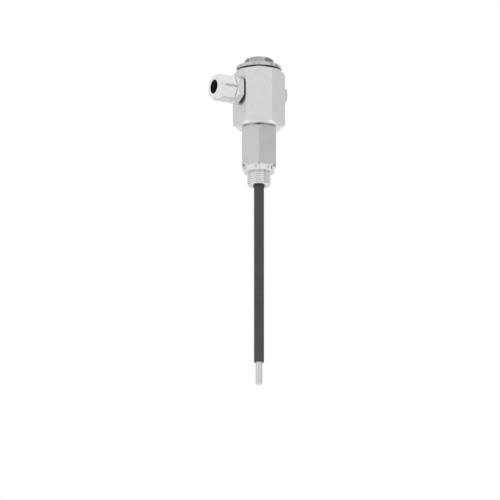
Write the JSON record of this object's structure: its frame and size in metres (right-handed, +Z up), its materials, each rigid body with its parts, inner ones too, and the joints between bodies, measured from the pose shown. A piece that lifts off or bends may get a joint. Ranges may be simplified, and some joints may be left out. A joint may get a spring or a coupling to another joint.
{
  "type": "conductive level probe",
  "caption": "Conductive level probe: hexagonal steel terminal head with screw cover, cable gland and blanking plug, hexagonal neck with process thread, and an insulated electrode rod.",
  "frame": {"origin": "on the rod's axis, in the sealing face under the neck's collar", "axes": "+Z up the rod's axis towards the head and cover, -X along the cable gland, +X along the blanking plug"},
  "size_m": [0.0698, 0.0462, 0.2961],
  "materials": {
    "head_steel": "fine-turned and milled stainless steel, matt",
    "neck_steel": "fine-turned and milled stainless steel, matt",
    "cover_steel": "turned stainless steel",
    "nickel_plate": "bright nickel plate",
    "plug_steel": "turned stainless steel",
    "rod_steel": "drawn stainless steel",
    "spring_steel": "blued spring steel",
    "seal_ring_metal": "soft metal ring",
    "zinc_screw": "bright zinc plate",
    "tinned_copper": "tinned",
    "terminal_brass": "plain brass",
    "black_rubber": "matt",
    "black_nylon": "moulded",
    "black_bush": "turned",
    "sleeve_plastic": "extruded, satin",
    "white_ptfe": "turned",
    "ivory_plastic": "moulded",
    "lead_insulation": "extruded"
  },
  "bodies": {
    "probe": {"housing": "head_steel", "process_connection": "neck_steel", "neck_o_ring": "black_rubber", "gland_washer": "black_rubber", "gland_body": "nickel_plate", "electrode_rod": "rod_steel", "rod_sleeve": "sleeve_plastic", "lower_bush": "black_bush", "packing_ring_lower": "white_ptfe", "packing_ring_middle": "white_ptfe", "packing_ring_upper": "white_ptfe", "follower_bush": "ivory_plastic", "thrust_washer": "rod_steel", "disc_spring_lower": "spring_steel", "disc_spring_upper": "spring_steel", "compression_screw": "rod_steel", "terminal_carrier": "ivory_plastic", "carrier_screws": "zinc_screw", "rod_washer": "zinc_screw", "rod_nut": "zinc_screw", "ring_lug": "tinned_copper", "terminal_washer": "zinc_screw", "terminal_nut": "zinc_screw", "signal_lead": "lead_insulation", "terminal_block": "ivory_plastic", "clamp_plates": "terminal_brass", "terminal_screws": "zinc_screw", "earth_screw": "zinc_screw", "earth_washer": "zinc_screw"},
    "cover_seal": {"cover_gasket": "black_rubber"},
    "cover_cap": {"cover": "cover_steel"},
    "gland_insert": {"gland_cage": "black_nylon", "gland_seal": "black_rubber"},
    "gland_cap": {"gland_cap_nut": "nickel_plate"},
    "plug_ring": {"plug_seal": "seal_ring_metal"},
    "plug": {"blanking_plug": "plug_steel"}
  },
  "joints": [
    {"name": "cover_lift", "type": "slide", "parent": "probe", "child": "cover_seal", "axis": [0, 0, 1], "range_m": [0, 0.009]},
    {"name": "cover_turn", "type": "hinge", "parent": "cover_seal", "child": "cover_cap", "pos_m": [0, 0, 0.0928], "axis": [0, 0, 1], "range_deg": [0, 2160.5]},
    {"name": "gland_travel", "type": "slide", "parent": "probe", "child": "gland_insert", "axis": [-1, 0, 0], "range_m": [0, 0.009]},
    {"name": "gland_turn", "type": "hinge", "parent": "gland_insert", "child": "gland_cap", "pos_m": [-0.03, 0, 0.0726], "axis": [-1, 0, 0], "range_deg": [0, 2160.5]},
    {"name": "plug_travel", "type": "slide", "parent": "probe", "child": "plug_ring", "axis": [1, 0, 0], "range_m": [0, 0.0075]},
    {"name": "plug_turn", "type": "hinge", "parent": "plug_ring", "child": "plug", "pos_m": [0.021, 0, 0.0726], "axis": [1, 0, 0], "range_deg": [0, 1800.5]}
  ],
  "couplings": [
    {"joint": "cover_turn", "follows": "cover_lift", "rad_per_m": 4188.8},
    {"joint": "gland_turn", "follows": "gland_travel", "rad_per_m": 4188.8},
    {"joint": "plug_turn", "follows": "plug_travel", "rad_per_m": 4188.8}
  ]
}
